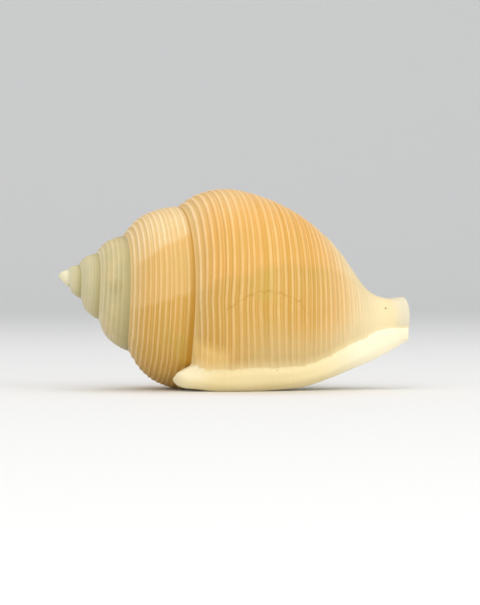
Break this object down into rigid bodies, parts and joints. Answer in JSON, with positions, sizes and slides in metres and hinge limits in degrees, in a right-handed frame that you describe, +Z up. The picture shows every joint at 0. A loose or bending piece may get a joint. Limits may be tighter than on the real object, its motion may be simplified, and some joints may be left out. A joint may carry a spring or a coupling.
{
  "type": "sea shell",
  "caption": "Ribbed spiral sea snail shell of a helmet shell, with a thick white outer lip and a short bent canal, lying on its mouth",
  "frame": {"origin": "middle of the footprint, on the floor that the shell rests on", "axes": "X runs from the apex to the canal, Z is up, minus Y is the side that the picture shows; the shell is dextral"},
  "size_m": [0.075, 0.0472, 0.0425],
  "materials": {
    "shell": "satin, yellow-orange and cream ribs, cream lip, grey-green spire"
  },
  "bodies": {
    "root": {"shell": "shell"}
  },
  "joints": []
}
